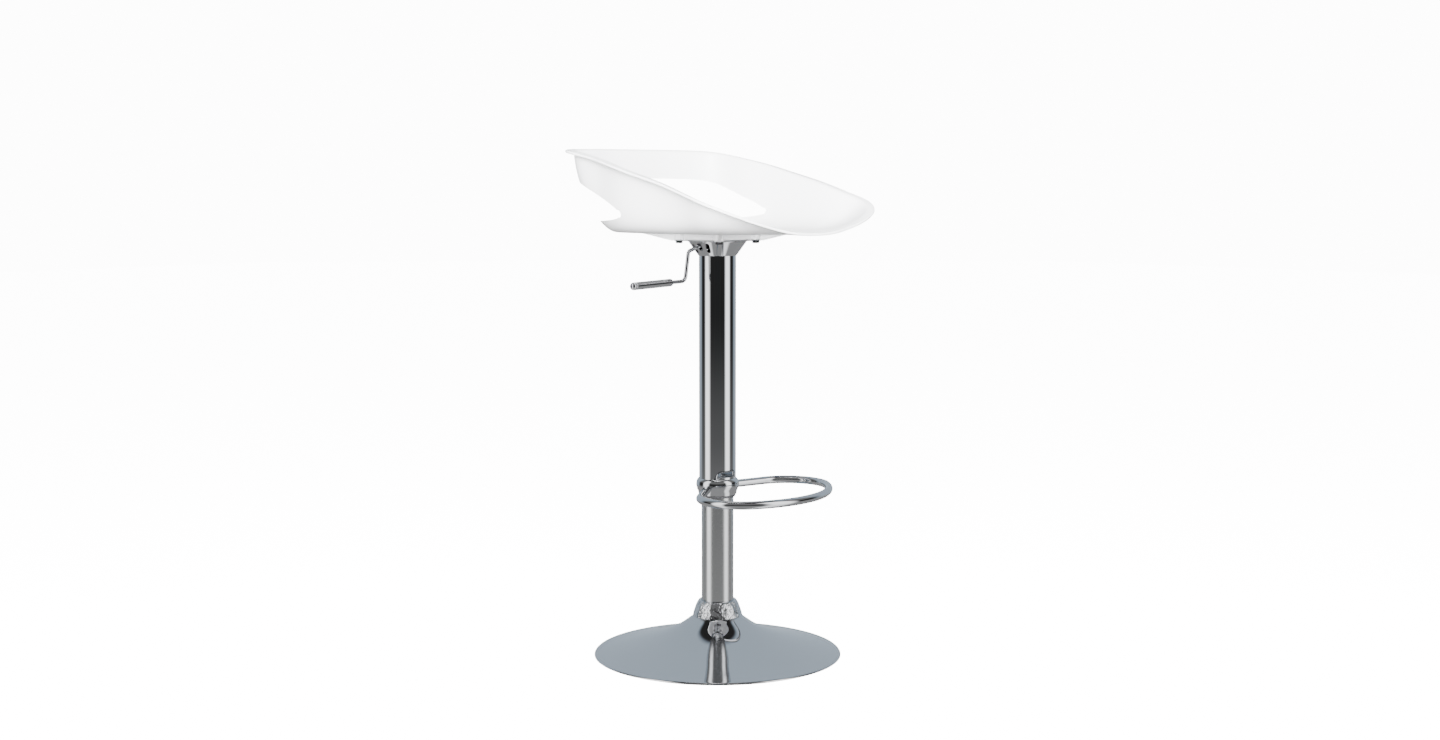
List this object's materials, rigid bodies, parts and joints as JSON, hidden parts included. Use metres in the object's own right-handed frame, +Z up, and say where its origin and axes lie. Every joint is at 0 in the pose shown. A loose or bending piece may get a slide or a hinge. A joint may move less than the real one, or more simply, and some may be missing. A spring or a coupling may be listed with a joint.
{
  "type": "adjustable swivel bar stool",
  "caption": "Height-adjustable swivel bar stool with a moulded open-back bucket seat, telescoping chrome column, footrest loop, gas-lift lever and round trumpet base.",
  "frame": {"origin": "on the column's axis at floor level", "axes": "+Z up, -Y is the way the sitter faces, -X is the sitter's right, where the lever is"},
  "size_m": [0.385, 0.3953, 0.7855],
  "materials": {
    "seat_plastic": "satin moulded ABS",
    "chrome": "mirror chrome plate",
    "satin_chrome": "satin drawn tube",
    "zinc_steel": "bright zinc plate",
    "black_steel": "black oxide and black paint",
    "ground_steel": "ground and polished",
    "piston_alloy": "turned",
    "black_nylon": "moulded",
    "black_rubber": "matt",
    "insert_brass": "turned"
  },
  "bodies": {
    "base": {"base_shell": "chrome", "base_plate": "black_steel", "floor_ring": "black_rubber", "hub_sleeve": "zinc_steel", "base_collar": "chrome", "inner_column": "satin_chrome", "column_bottom_plate": "zinc_steel", "column_guide_bush": "black_nylon", "lower_race": "zinc_steel"},
    "ball_ring": {"thrust_balls": "ground_steel", "ball_cage": "black_nylon"},
    "spindle": {"gas_piston_rod": "ground_steel", "rod_shoulder": "zinc_steel", "rod_bumper": "black_rubber", "upper_race": "zinc_steel", "retaining_clip": "zinc_steel", "rod_washer": "zinc_steel", "gas_piston": "piston_alloy", "piston_seal": "black_rubber"},
    "upper": {"gas_cylinder": "black_steel", "outer_tube": "chrome", "slide_bush": "black_nylon", "footrest_collar": "chrome", "footrest_ring": "chrome", "footrest_screws": "black_steel", "seat_plate": "zinc_steel", "cone_socket": "zinc_steel", "tube_top_ring": "black_nylon", "bell_cover": "chrome", "lever_bracket": "zinc_steel", "lever_pivot_pin": "zinc_steel", "seat_shell": "seat_plastic", "seat_bolts": "black_steel", "bolt_washers": "black_steel", "seat_inserts": "insert_brass"},
    "lever": {"lever_rod": "chrome", "lever_grip": "chrome", "grip_cap": "chrome"},
    "valve_pin": {"release_pin": "ground_steel"}
  },
  "joints": [
    {"name": "swivel", "type": "hinge", "parent": "base", "child": "spindle", "pos_m": [0, 0, 0], "axis": [0, 0, 1], "continuous": true},
    {"name": "ball_roll", "type": "hinge", "parent": "base", "child": "ball_ring", "pos_m": [0, 0, 0], "axis": [0, 0, 1], "continuous": true},
    {"name": "height", "type": "slide", "parent": "spindle", "child": "upper", "axis": [0, 0, 1], "range_m": [-0.035, 0.17]},
    {"name": "lever_lift", "type": "hinge", "parent": "upper", "child": "lever", "pos_m": [-0.03, 0, 0.6388], "axis": [0, 1, 0], "range_deg": [0, 5]},
    {"name": "valve_press", "type": "slide", "parent": "upper", "child": "valve_pin", "axis": [0, 0, -1], "range_m": [0, 0.00276], "stiffness_N_per_m": 1200, "springref_m": -0.0005}
  ],
  "couplings": [
    {"joint": "ball_roll", "follows": "swivel", "ratio": 0.5},
    {"joint": "valve_press", "follows": "lever_lift", "m_per_rad": 0.0315}
  ]
}
